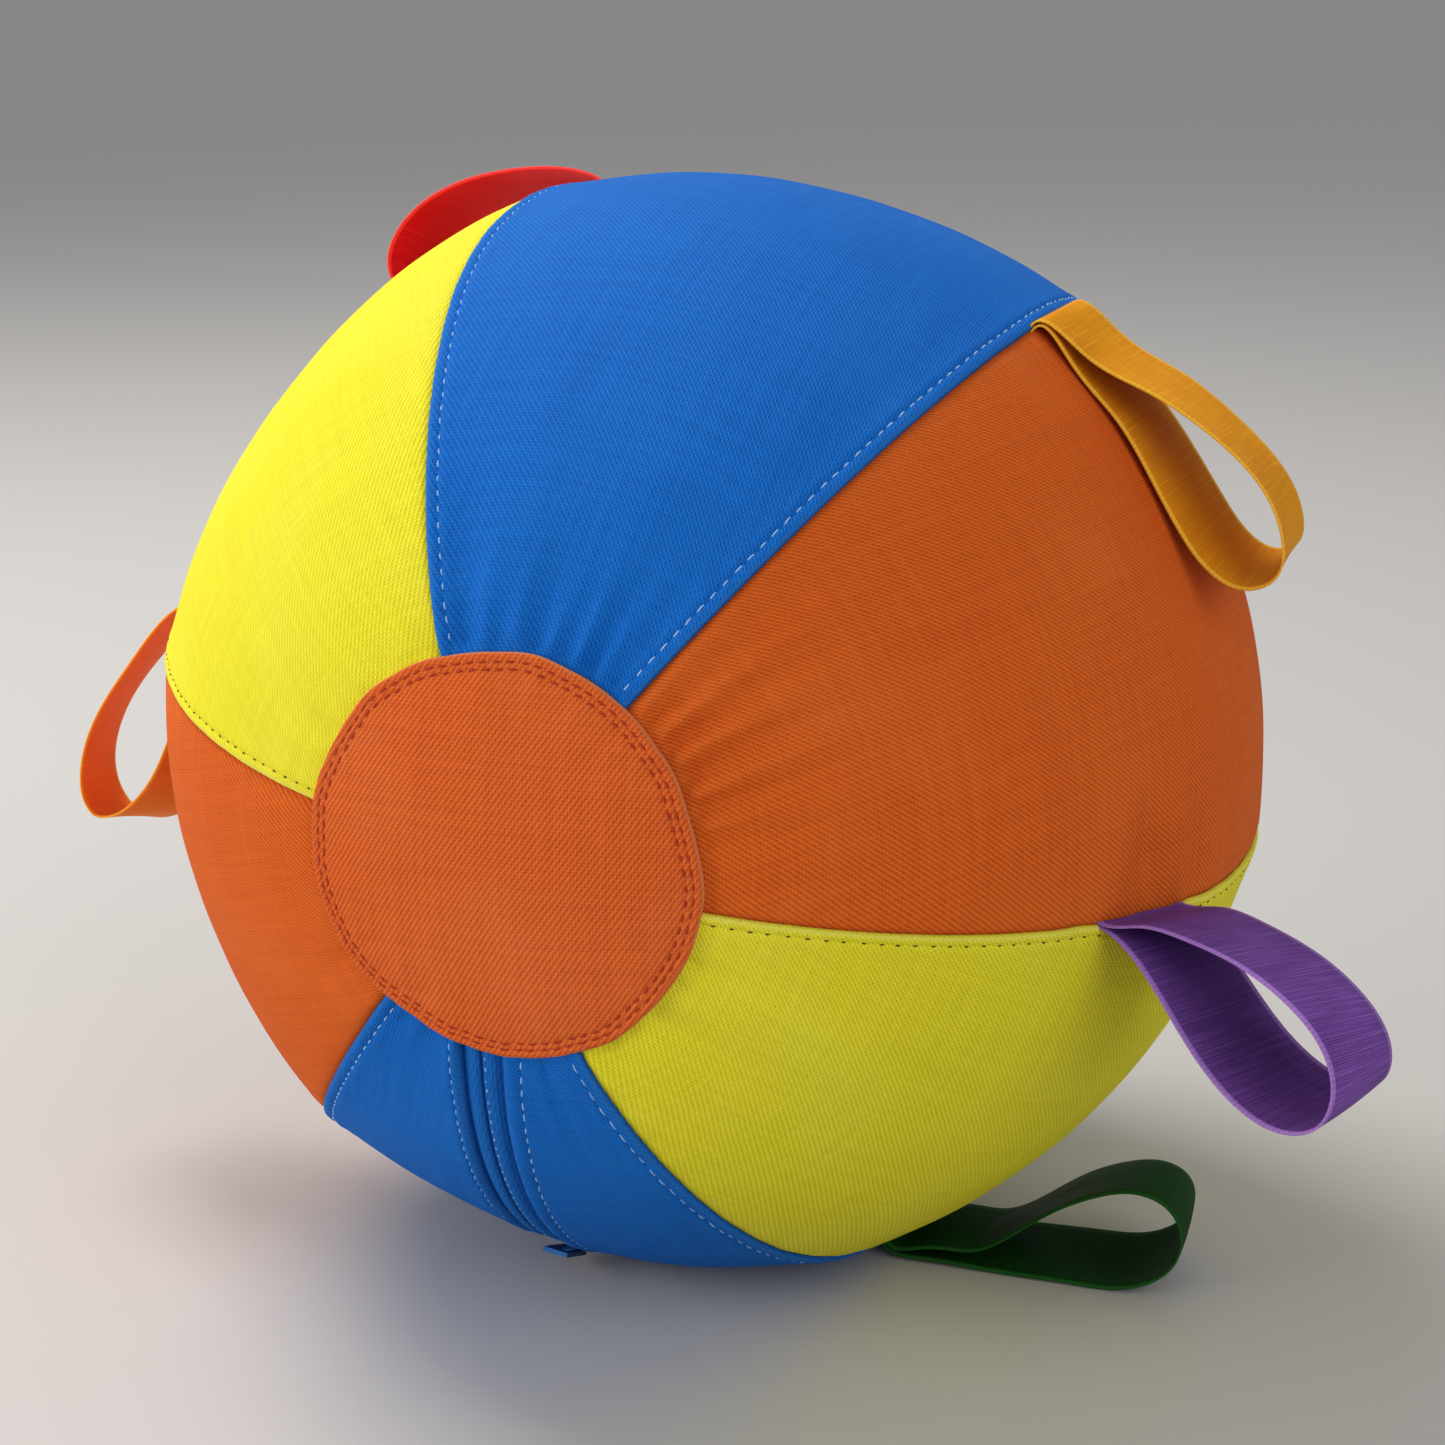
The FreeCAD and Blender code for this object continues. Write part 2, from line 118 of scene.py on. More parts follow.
# a gather's section: how wide its mouth is, the crests beside its groove, and where it starts
gatherShape = {"mouth": .8, "crest": .45, "crestPlace": 1.5, "crestWidth": .8, "start": -.3 * mm,
               "rise": 2.6 * mm}
backGathers = {"spread": 1.7, "shift": 40, "depth": .7}    # the back cap's, from the front cap's
capDip = {"depth": .45 * mm, "fade": 3.5 * mm, "most": 1.4}
unevenness = {"slow": .22 * mm, "fine": .07 * mm}
# deeper gathers by the front cap: turn, depth, width, reach (millimetres)
gathers = [
    (44, 2.3, 1.7, 22), (36, 1.9, 1.6, 20), (27, 1.9, 2.1, 26), (18, 1.4, 1.9, 22), (9, 1.1, 1.8, 16),
    (57, 1.1, 1.7, 13), (65, 1.5, 1.8, 18), (73, 1.1, 1.7, 14), (81, 1.3, 2.0, 16), (101, 1.8, 2.6, 22),
    (128, .6, 2.6, 12), (150, .5, 2.4, 10), (196, .6, 2.4, 14), (214, .7, 2.6, 16),
    (238, 1.5, 3.2, 14), (247, 1.4, 2.6, 12), (300, .7, 2.6, 12), (318, .9, 2.8, 16), (336, .7, 2.4, 12),
]
# hollows where a ribbon drags on the cloth: turn, polar angle, depth, size round and along, millimetres
hollows = [
    (-3.5, 67, 2.4, 9, 5), (-5.5, 75, 1.0, 14, 4), (-4, 58, .9, 14, 4),
    (45, 86, 1.6, 8, 6), (46.5, 77, .8, 14, 4), (44, 95, .8, 14, 4),
    (-16, 66, .5, 6, 6), (113, 110, .7, 7, 6), (104, 111, .5, 6, 6),
    (176, 90, .7, 8, 6), (165, 90, .6, 8, 6), (236, 118, .7, 8, 6), (297, 91, .7, 8, 6), (286, 90, .5, 8, 6),
]


def direction(turn, polar):
    # unit vector on the ball: the caps' axis is Y, the turn goes from +X towards +Z
    t, p = np.radians(turn), np.radians(polar)
    return np.stack([np.sin(p) * np.cos(t), -np.cos(p) + 0 * t, np.sin(p) * np.sin(t)], axis=-1)


def settle(points):
    # cloth near the floor flattens on it: below the soft band z becomes a parabola, then zero
    band = 1.6 * mm
    z = points[..., 2]
    soft = np.where(z > band, z, np.where(z < -band, 0.0, (z + band) ** 2 / (4 * band)))
    return np.concatenate([points[..., :2], soft[..., None]], axis=-1)


def gap(turn, other):
    # signed turn from other to turn, between -180 and 180
    return (turn - other + 180) % 360 - 180


puckerRandom = np.random.default_rng(puckers["seed"])


def puckerTable():
    # small gathers spread round both caps: turn, cap, depth, width, reach
    n = puckers["count"]
    turn = (np.arange(n) + puckerRandom.uniform(-.4, .4, n)) * 720 / n
    spread = [puckerRandom.uniform(*puckers[key], n) for key in ("depth", "width", "reach")]
    rows = [np.stack([turn % 360, np.where(np.arange(n) < n // 2, 0.0, 1.0), *spread], axis=1)]
    deep = np.array([(t, 0, d * mm, w * mm, r * mm) for t, d, w, r in gathers])
    back = deep.copy()
    back[:, 0] = (deep[:, 0] * backGathers["spread"] + backGathers["shift"]) % 360
    back[:, 1] = 1
    back[:, 2] *= backGathers["depth"]
    return np.concatenate(rows + [deep, back])


puckerRows = puckerTable()


def coverHeight(turn, polar):
    # height of the cloth over the plain ball, away from the edges: seam ridges,
    # gathers that die away from the caps, hollows at the ribbons, and slow unevenness
    p = np.radians(polar)
    around = ballRadius * np.sin(p)
    place = (turn - seamTurns[0]) % 360 + seamTurns[0]
    share = np.interp(place, seamTurns, np.arange(7)) % 1
    height = seams["ridge"] * (2 * np.abs(2 * share - 1) ** 1.7 - 1) * np.sin(p) ** 1.5
    for t, cap, depth, width, reach in puckerRows:
        fromCap = (polar if cap == 0 else 180 - polar) - capAngle
        along = np.maximum(np.radians(fromCap) * ballRadius, 0)
        across = np.radians(gap(turn, t)) * around / (width * (gatherShape["mouth"] + along / reach))
        rise = np.clip((along - gatherShape["start"]) / gatherShape["rise"], 0, 1)
        beside = (np.abs(across) - gatherShape["crestPlace"]) / gatherShape["crestWidth"]
        fold = np.exp(-across ** 2) - gatherShape["crest"] * np.exp(-beside ** 2)
        height = height - depth * rise * fold * np.exp(-along / reach)
    for t, q, depth, sizeRound, sizeAlong in hollows:
        across = np.radians(gap(turn, t)) * around / (sizeRound * mm)
        along = np.radians(polar - q) * ballRadius / (sizeAlong * mm)
        height = height - depth * mm * np.exp(-across ** 2 - along ** 2)
    t = np.radians(turn)
    slow = np.sin(5 * t + 3 * p + .4) + np.sin(9 * t - 5 * p + 2.1) * .6 + np.sin(4 * t + 11 * p + 1.0) * .5
    fine = np.sin(23 * t + 8 * p + .7) * np.sin(19 * p - 11 * t + 2.0)
    edge = 0
    for fromCap in (polar - capAngle, 180 - polar - capAngle):
        edge = edge + np.clip(np.exp(-np.radians(fromCap) * ballRadius / capDip["fade"]), 0, capDip["most"])
    uneven = (unevenness["slow"] * slow + unevenness["fine"] * fine) * np.sin(p)
    return height + uneven - capDip["depth"] * edge


def spanEdges(gore, polar):
    # turns of the gore's two edges at each polar angle; the zip's edges stand back from its line
    around = ballRadius * np.sin(np.radians(polar))
    closing = np.clip((polar - zipSlot["end"]) / zipSlot["close"], 0, 1)
    back = np.degrees(zipSlot["half"] * (1 - closing * closing * (3 - 2 * closing)) / around)
    low, high = gore["span"]
    lowTurn = zipTurn + back if low == "zip" else seamTurns[low] + 0 * polar
    highTurn = zipTurn - back if high == "zip" else seamTurns[high] + 0 * polar
    return lowTurn, highTurn


def goreHeight(gore, turn, polar):
    # cover height plus the two sewn edges, each read from its edge shape by distance
    around = ballRadius * np.sin(np.radians(polar))
    lowTurn, highTurn = spanEdges(gore, polar)
    fromLow = np.radians(turn - lowTurn) * around / mm
    fromHigh = np.radians(highTurn - turn) * around / mm
    height = coverHeight(turn, polar)
    for kind, distance, phase in ((gore["edges"][0], fromLow, 0.3), (gore["edges"][1], fromHigh, 1.9)):
        near = np.exp(-np.abs(distance - edgeDrag["place"]) / edgeDrag["reach"])
        drag = np.sin(polar * 1.9 + phase) * np.sin(polar * 0.83 + 2 * phase) * near
        height = height + (np.interp(distance, *edgeShapes[kind]) + edgeDrag["size"] * drag) * mm
    return height


def goreSurface(gore, turn, polar):
    reach = ballRadius + goreHeight(gore, turn, polar)
    return settle(centre + reach[..., None] * direction(turn, polar))


# meshes from grids
def gridFaces(rows, columns, closedAcross=False):
    # quads of a grid, row by row; closedAcross joins the last column to the first
    r = np.arange(rows - 1)[:, None]
    c = np.arange(columns if closedAcross else columns - 1)[None, :]
    a = r * columns + c
    b = r * columns + (c + 1) % columns
    return np.stack([a, b, b + columns, a + columns], axis=-1).reshape(-1, 4)


def meshPiece(name, points, faces, uv=None, extra=None):
    mesh = bpy.data.meshes.new(name)
    mesh.from_pydata(np.asarray(points, float).reshape(-1, 3).tolist(), [], faces)
    mesh.polygons.foreach_set("use_smooth", [True] * len(mesh.polygons))
    corner = np.zeros(len(mesh.loops), np.int64)
    mesh.loops.foreach_get("vertex_index", corner)
    if uv is not None:
        layer = mesh.uv_layers.new(name="cut")          # the flat cut, in metres
        layer.data.foreach_set("uv", np.asarray(uv, np.float32).reshape(-1, 2)[corner].ravel())
    for key, values in (extra or {}).items():
        attribute = mesh.attributes.new(key, "FLOAT", "POINT")
        attribute.data.foreach_set("value", np.asarray(values, np.float32).ravel())
    mesh.update()
    piece = bpy.data.objects.new(name, mesh)
    bpy.context.scene.collection.objects.link(piece)
    return piece


def thicken(piece, thickness, offset=-1.0):
    solid = piece.modifiers.new("thickness", "SOLIDIFY")
    solid.thickness = thickness
    solid.offset = offset


def smoothPath(points, count):
    # natural cubic spline through the points, by chord length, sampled evenly along its length
    p = np.asarray(points, float)
    s = np.concatenate([[0], np.cumsum(np.linalg.norm(np.diff(p, axis=0), axis=1))])
    h = np.diff(s)
    n = len(p)
    system = np.eye(n)
    right = np.zeros_like(p)
    inner = np.arange(1, n - 1)
    system[inner, inner - 1] = h[:-1]
    system[inner, inner] = 2 * (h[:-1] + h[1:])
    system[inner, inner + 1] = h[1:]
    slope = np.diff(p, axis=0) / h[:, None]
    right[1:-1] = 6 * np.diff(slope, axis=0)
    bend = np.linalg.solve(system, right)
    dense = np.linspace(0, s[-1], 1200)
    i = np.clip(np.searchsorted(s, dense, side="right") - 1, 0, n - 2)
    a = (s[i + 1] - dense)[:, None]
    b = (dense - s[i])[:, None]
    w = h[i][:, None]
    curve = (bend[i] * a ** 3 + bend[i + 1] * b ** 3) / (6 * w)
    curve += (p[i] / w - bend[i] * w / 6) * a + (p[i + 1] / w - bend[i + 1] * w / 6) * b
    run = np.concatenate([[0], np.cumsum(np.linalg.norm(np.diff(curve, axis=0), axis=1))])
    even = np.linspace(0, run[-1], count)
    return np.stack([np.interp(even, run, curve[:, k]) for k in range(curve.shape[1])], axis=1), run[-1]


# shader maths
class Wire:
    # a socket that takes part in Python expressions; each operator adds a Math node
    def __init__(self, maker, socket):
        self.maker = maker
        self.socket = socket

    def __add__(self, other):
        return self.maker.maths("ADD", self, other)

    __radd__ = __add__

    def __mul__(self, other):
        return self.maker.maths("MULTIPLY", self, other)

    __rmul__ = __mul__

    def __sub__(self, other):
        return self.maker.maths("SUBTRACT", self, other)

    def __rsub__(self, other):
        return self.maker.maths("SUBTRACT", other, self)

    def __truediv__(self, other):
        return self.maker.maths("DIVIDE", self, other)


class Maker:
    # builds one material; node() is the only way a node is made
    def __init__(self, name):
        self.material = bpy.data.materials.new(name)
        self.material.use_nodes = True
        self.tree = self.material.node_tree
        self.shader = self.tree.nodes["Principled BSDF"]

    def node(self, kind, settings=None, sockets=None, out=0):
        made = self.tree.nodes.new(kind)
        for key, value in (settings or {}).items():
            setattr(made, key, value)
        for key, value in (sockets or {}).items():
            self.feed(made.inputs[key], value)
        return Wire(self, made.outputs[out])

    def feed(self, socket, value):
        if isinstance(value, Wire):
            self.tree.links.new(value.socket, socket)
        else:
            socket.default_value = value

    def maths(self, operation, first, second=0.0):
        return self.node("ShaderNodeMath", {"operation": operation}, {0: first, 1: second})

    def clamp(self, value):
        return self.node("ShaderNodeClamp", None, {"Value": value})

    def wave(self, value, pitch):
        # rises and falls between 0 and 1 once in each pitch
        return self.maths("SINE", value * (2 * math.pi / pitch)) * .5 + .5

    def mix(self, share, first, second):
        return self.node("ShaderNodeMix", {"data_type": "RGBA"}, {0: share, 6: first, 7: second}, out=2)

    def streaks(self, vector, across, along, detail=2.0):
        # noise drawn out along the cloth, by how fine it is each way
        drawn = self.node("ShaderNodeMapping", None, {"Vector": vector, "Scale": (across, along, 1)})
        return self.noise(drawn, 1.0, detail)

    def noise(self, vector, scale, detail=2.0, rough=0.5):
        sockets = {"Vector": vector, "Scale": scale, "Detail": detail, "Roughness": rough}
        return self.node("ShaderNodeTexNoise", {"noise_dimensions": "3D"}, sockets)

    def wander(self, vector, scale, detail, reach):
        # a soft to-and-fro, in metres, of half this reach either way
        return (self.noise(vector, scale, detail) - .5) * reach

    def solidPlace(self):
        # place in the piece's own space, for pieces with no flat cut
        return self.node("ShaderNodeTexCoord", None, None, out=3)

    def finish(self, colour, roughness, bumps=(), **constants):
        # bumps: pairs of height in metres and its strength
        self.feed(self.shader.inputs["Base Color"], colour)
        self.feed(self.shader.inputs["Roughness"], roughness)
        normal = None
        for height, strength in bumps:
            sockets = {"Height": height, "Strength": strength, "Distance": 1.0}
            if normal is not None:
                sockets["Normal"] = normal
            normal = self.node("ShaderNodeBump", None, sockets)
        if normal is not None:
            self.feed(self.shader.inputs["Normal"], normal)
        for key, value in constants.items():
            self.shader.inputs[key].default_value = value
        return self.material


def cutPlace(maker):
    # place on the flat cut: across (x) and along (y), metres
    uv = maker.node("ShaderNodeUVMap", {"uv_map": "cut"})
    split = maker.node("ShaderNodeSeparateXYZ", None, {0: uv})
    along = Wire(maker, split.socket.node.outputs[1])
    return uv, split, along


canvas = {
    "pitch": 0.62 * mm,                      # one thread to the next
    "twill": 1.08 * mm,                      # one diagonal rib to the next
    "wobble": (260.0, 2.0, .5 * mm),         # how the threads wander: how fine, detail, reach
    "slowWobble": (38.0, 1.0, 1.4 * mm),
    "fuzz": (5200.0, 2.0, .7),               # noise: how fine, detail, roughness
    "fade": (22.0, 3.0),
    "streaks": (900, 26),                    # how fine across a streak and along it
    "seamShadeReach": 1.1 * mm,                   # painted shade lies this near to the seams
    "bump": 0.17 * mm,
    "yarnBump": .05 * mm,
    "rough": 0.8,
    "sheen": 0.06,
}
dyes = {                          # linear colours: face; hollow, a darker tone, painted shade in the weave's hollows and along the seams; worn, a paler tone for fading and wear, also painting highlights on thread crests and folded edges
    "orange": ((0.71, 0.125, 0.012), (0.40, 0.050, 0.005), (0.92, 0.34, 0.09)),
    "blue": ((0.004, 0.145, 0.56), (0.0015, 0.048, 0.26), (0.05, 0.27, 0.68)),
    "yellow": ((0.80, 0.73, 0.026), (0.52, 0.45, 0.008), (0.90, 0.87, 0.26)),
    "rust": ((0.72, 0.130, 0.020), (0.38, 0.044, 0.007), (0.94, 0.38, 0.15)),
    "zipBlue": ((0.006, 0.150, 0.55), (0.002, 0.046, 0.24), (0.05, 0.24, 0.62)),
}


def canvasMaterial(name, dye, lean=1.0, twill=0.6):
    # plain threads both ways with a diagonal rib over them; colour follows the weave (painted shade
    # in its hollows, painted highlight on thread crests), the yarn's own streaks, slow fading, painted
    # shade along the seams, and wear with a painted highlight on the folded edges
    face, hollow, wornAndHighlight = [(*c, 1) for c in dyes[dye]]
    maker = Maker(name)
    uv, across, along = cutPlace(maker)
    wobble = maker.wander(uv, *canvas["wobble"])
    slowWobble = maker.wander(uv, *canvas["slowWobble"])
    warp = maker.wave(across + wobble, canvas["pitch"])
    weft = maker.wave(along + wobble, canvas["pitch"])
    rib = maker.wave(across + along * lean + slowWobble + wobble * .6, canvas["twill"])
    threads = maker.maths("MAXIMUM", warp, weft) * (1 - twill) + rib * twill
    fuzz = maker.noise(uv, *canvas["fuzz"])
    streakAcross = maker.streaks(uv, *canvas["streaks"])
    streakAlong = maker.streaks(uv, *canvas["streaks"][::-1])
    fade = maker.noise(uv, *canvas["fade"])
    seam = maker.node("ShaderNodeAttribute", {"attribute_name": "fromSeam"}, out=2)
    wearAndHighlight = maker.node("ShaderNodeAttribute", {"attribute_name": "wearAndHighlight"}, out=2)
    # the weave's hollows take the darker tone as painted shade; the yarn streaks and fuzz are the cloth's
    # own tone
    depth = maker.clamp(threads * 1.0 + streakAcross * .4 + streakAlong * .4 + fuzz * .3 - .5)
    colour = maker.mix(depth, hollow, face)
    pale = maker.clamp((fade - .46) * .9)
    colour = maker.mix(pale * .35, colour, wornAndHighlight)
    # thread crests lighten towards the pale tone: a painted highlight on the weave
    crest = maker.clamp((threads - .72) * 1.6) * maker.clamp(fuzz * 1.4 - .3)
    colour = maker.mix(crest * .22, colour, wornAndHighlight)
    # the folded edges lighten: wear and a painted highlight along the fold
    colour = maker.mix(maker.clamp(wearAndHighlight * (fuzz * .8 + .35)), colour, wornAndHighlight)
    # a darker band along the seams: painted shade in the seam grooves
    seamShade = maker.clamp(1 - seam / canvas["seamShadeReach"])
    colour = maker.mix(seamShade * .55, colour, hollow)
    rough = maker.clamp(canvas["rough"] + (fade - .5) * .18 - crest * .1)
    weave = (threads * 1.0 + (fuzz - .5) * .35) * canvas["bump"]
    yarn = (streakAcross + streakAlong) * canvas["yarnBump"]
    return maker.finish(colour, rough, [(weave, .9), (yarn, .6)],
                        **{"Sheen Weight": canvas["sheen"], "Sheen Roughness": .45, "Sheen Tint": wornAndHighlight,
                           "Specular IOR Level": .1})


satin = {
    "rib": 0.42 * mm,                        # one cross rib to the next
    "wobble": (420.0, 2.0, .22 * mm),
    "yarn": (40, 2600, 3.0),                 # streaks: how fine across and along, detail
    "lengthwise": (1800, 30),
    "fade": (60.0, 3.0),
    "selvedge": 11.3 * mm,                   # the cord starts this far from the middle line
    "selvedgeSoft": .35 * mm,
    "selvedgeBump": .12 * mm,
    "picot": .9 * mm,                        # one twist of the cord to the next
    "bump": 0.05 * mm,
    "rough": 0.5,
}


def ribbonMaterial(name, face, hollow, shine, through):
    # fine ribs run straight across; the two selvedges are a denser cord, lightened towards the shine colour,
    # partly the cord's own look and partly a painted satin highlight
    maker = Maker(name)
    uv, across, along = cutPlace(maker)
    wobble = maker.wander(uv, *satin["wobble"])
    ribs = maker.wave(along + wobble, satin["rib"])
    yarn = maker.streaks(uv, *satin["yarn"])
    lengthwise = maker.streaks(uv, *satin["lengthwise"])
    edge = maker.maths("ABSOLUTE", across)
    selvedge = maker.clamp((edge - satin["selvedge"]) / satin["selvedgeSoft"])
    picot = maker.wave(along, satin["picot"]) * selvedge
    fade = maker.noise(uv, *satin["fade"])
    # rib hollows darken towards the hollow tone as painted shade; yarn, streaks and fading are the ribbon's
    # own tone
    tone = maker.clamp(ribs * .34 + yarn * .55 + lengthwise * .2 + (fade - .5) * .5 - .02)
    colour = maker.mix(tone, (*hollow, 1), (*face, 1))
    # yarn peaks take the shine colour: a painted satin highlight
    colour = maker.mix(maker.clamp(yarn * 1.6 - .82) * .5, colour, (*shine, 1))
    colour = maker.mix(selvedge * .45 + picot * .2, colour, (*shine, 1))
    rough = maker.clamp(satin["rough"] + (yarn - .5) * .25 + selvedge * .15)
    height = (ribs * .8 + yarn * 1.1) * satin["bump"] + selvedge * satin["selvedgeBump"]
    return maker.finish(colour, rough, [(height, .55)],
                        **{"Specular IOR Level": .02,
                           "Specular Tint": (*[c ** .5 for c in shine], 1), "Anisotropic": .3,
                           "Subsurface Weight": through, "Subsurface Scale": .0006,
                           "Subsurface Radius": (1.0, .6, .3)})


def threadMaterial(name, colour, dark):
    # two plies twisted together show as slanted bands
    maker = Maker(name)
    place = maker.solidPlace()
    twist = maker.node("ShaderNodeTexWave", {"wave_type": "BANDS", "bands_direction": "DIAGONAL"},
                       {"Vector": place, "Scale": 900.0, "Distortion": 1.5})
    fuzz = maker.noise(place, 3000.0, 2.0)
    ply = Wire(maker, twist.socket.node.outputs[1])
    tone = maker.clamp(ply * .6 + fuzz * .5)
    twisted = maker.mix(tone, (*dark, 1), (*colour, 1))
    return maker.finish(twisted, .62 + fuzz * .2, [(ply * (.04 * mm), .6)],
                        **{"Sheen Weight": .04, "Specular IOR Level": .12})


def metalMaterial(name, colour, rough):
    maker = Maker(name)
    place = maker.solidPlace()
    grain = maker.noise(place, 1400.0, 3.0)
    scuff = maker.noise(place, 240.0, 4.0, .7)
    tone = maker.mix(maker.clamp(scuff * 1.5 - .4), (*[c * .55 for c in colour], 1), (*colour, 1))
    rough = maker.clamp(rough + (scuff - .5) * .35)
    return maker.finish(tone, rough, [(grain * (.01 * mm), .5)], Metallic=1.0)


def rubberMaterial(name, colour, dusty):
    maker = Maker(name)
    place = maker.solidPlace()
    bloom = maker.noise(place, 60.0, 4.0, .6)
    grain = maker.noise(place, 1800.0, 2.0)
    tone = maker.mix(maker.clamp(bloom * 1.3 - .35) * .6, (*colour, 1), (*dusty, 1))
    rough = maker.clamp(.58 + (bloom - .5) * .3)
    return maker.finish(tone, rough, [(grain * (.02 * mm), .5)], **{"Specular IOR Level": .4})


def plasticMaterial(name, colour):
    maker = Maker(name)
    place = maker.solidPlace()
    grain = maker.noise(place, 900.0, 3.0)
    tone = maker.mix(maker.clamp(grain), (*[c * .7 for c in colour], 1), (*colour, 1))
    return maker.finish(tone, .4 + grain * .15, [(grain * (.01 * mm), .4)])


materials = {
    "cloth_orange": canvasMaterial("canvas orange", "orange", 1.0, .62),
    "cloth_blue": canvasMaterial("canvas blue", "blue", -.9, .45),
    "cloth_yellow": canvasMaterial("canvas yellow", "yellow", .8, .5),
    "cloth_rust": canvasMaterial("canvas rust", "rust", -.7, .62),
    "zip_tape": canvasMaterial("zip tape", "zipBlue", .3, .25),
    "thread_rust": threadMaterial("thread rust", (.46, .05, .016), (.22, .018, .006)),
    "thread_olive": threadMaterial("thread olive", (.10, .085, .012), (.04, .032, .005)),
    "thread_pale": threadMaterial("thread pale", (.40, .62, .86), (.12, .28, .55)),
    "ribbon_red": ribbonMaterial("ribbon red", (.92, .012, .022), (.44, .002, .005), (.98, .08, .08), .32),
    "ribbon_gold": ribbonMaterial("ribbon gold", (.84, .34, .008), (.46, .14, .003), (.95, .56, .06), .12),
    # purple's hollow tone is nearly black: painted shade, as seen inside the loop
    "ribbon_purple": ribbonMaterial("ribbon purple", (.25, .10, .44), (.022, .006, .065), (.46, .24, .66),
                                    .03),
    "ribbon_green": ribbonMaterial("ribbon green", (.007, .055, .006), (.002, .014, .002), (.02, .11, .02),
                                   .02),
    "ribbon_orange": ribbonMaterial("ribbon orange", (.98, .27, .016), (.72, .11, .005), (1, .44, .06), .4),
    "ribbon_blue": ribbonMaterial("ribbon blue", (.012, .09, .46), (.004, .03, .20), (.06, .22, .70), .06),
    "zip_coil": plasticMaterial("zip coil", (.03, .12, .34)),
    "zip_metal": metalMaterial("zip metal", (.04, .15, .42), .42),
    "bladder_rubber": rubberMaterial("bladder rubber", (.035, .034, .034), (.11, .105, .10)),
    "valve_rubber": rubberMaterial("valve rubber", (.02, .02, .02), (.07, .07, .07)),
}
slotOf = {row["node"]: row["material_slot"] for row in frame["record"]["subparts"]}
print("materials ready:", len(materials))


def dress(piece, slotName, body="ball"):
    piece.data.materials.clear()
    piece.data.materials.append(materials[slotName])
    if body:
        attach(piece, body)


# gores
goreGrid = {"rows": 208, "middle": 54, "thickness": 0.55 * mm, "edgeReach": 8 * mm, "edgeShare": .46,
            "foldPlace": .45 * mm, "foldWidth": .4 * mm, "foldWornAndHighlight": .5}


def sewGore(name, gore):
    # grid of polar angle by distance across; the edge columns keep their true distance from the seam
    polar = np.linspace(seams["tips"], 180 - seams["tips"], goreGrid["rows"])[:, None]
    around = ballRadius * np.sin(np.radians(polar))
    lowTurn, highTurn = spanEdges(gore, polar)
    width = np.radians(highTurn - lowTurn) * around
    lowSteps = np.array(edgeSteps[gore["edges"][0]]) * mm
    highSteps = np.array(edgeSteps[gore["edges"][1]]) * mm
    fit = np.minimum(1.0, goreGrid["edgeShare"] * width / goreGrid["edgeReach"])
    inside = np.linspace(0, 1, goreGrid["middle"] + 2)[1:-1]
    start, stop = lowSteps[-1] * fit, width - highSteps[-1] * fit
    middle = start + (stop - start) * inside
    across = np.concatenate([lowSteps * fit, middle, width - highSteps[::-1] * fit], axis=1)
    turn = lowTurn + np.degrees(across / around)
    polarFull = polar + 0 * turn
    points = goreSurface(gore, turn, polarFull)
    uv = np.stack([across - width / 2, np.radians(polarFull) * ballRadius], axis=-1)
    nearest = np.minimum(across, width - across)
    # pale mask on the folded edges: wear and a painted highlight along the fold
    wornAndHighlight = 0 * across
    for edge, distance in zip(gore["edges"], (across, width - across)):
        if edge != "under":
            fold = (distance - goreGrid["foldPlace"]) / goreGrid["foldWidth"]
            wornAndHighlight = wornAndHighlight + goreGrid["foldWornAndHighlight"] * np.exp(-fold ** 2)
    faces = gridFaces(*turn.shape)[:, ::-1].tolist()
    piece = meshPiece(name + "_cloth", points, faces, uv,
                      {"fromSeam": np.maximum(nearest, 0), "wearAndHighlight": wornAndHighlight})
    thicken(piece, goreGrid["thickness"])
    dress(piece, slotOf[name])
    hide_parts(name)
    return piece


gorePieces = {name: sewGore(name, gore) for name, gore in gores.items()}
print("gores sewn:", len(gorePieces))

# caps
caps = {"rings": 56, "sides": 220, "thickness": 0.5 * mm, "crown": 0.35 * mm, "crownReach": 30 * mm,
        "poleHeight": 1.0 * mm, "wornAndHighlight": .95, "wornAndHighlightPlace": .14 * mm, "wornAndHighlightWidth": .28 * mm,
        "stitchRows": (1.9 * mm, 3.2 * mm)}
# rings of the cap's mesh near its edge, by distance inwards, millimetres
capSteps = [0, .04, .08, .16, .25, .4, .6, .9, 1.2, 1.5, 1.7, 1.9, 2.1, 2.3, 2.5, 2.7, 2.95, 3.2, 3.5,
            3.8, 4.6, 5.6]
# the cap's outline wanders by these waves: count round, size, phase
capWaves = [(2, .35, .6), (3, .25, 2.2), (5, .22, .9), (8, .2, 1.4), (13, .12, .3), (21, .06, 2.0)]
# height from the cap's edge inwards: distance and height over the cover, millimetres
capEdge = ([0, .06, .18, .45, 1.0, 1.5, 1.9, 2.3, 2.7, 3.2, 3.8, 6, 12],
           [-.6, .25, .7, .98, 1.1, 1.02, .70, .92, .92, .64, .86, .88, .9])


def capOutline(turn, side):
    # arc radius of the cap's edge round the ball: a few waves
    t = np.radians(turn) + (0 if side == "front" else 1.3)
    waves = sum(size * np.cos(count * t + phase) for count, size, phase in capWaves)
    return np.radians(capAngle) * ballRadius + waves * mm


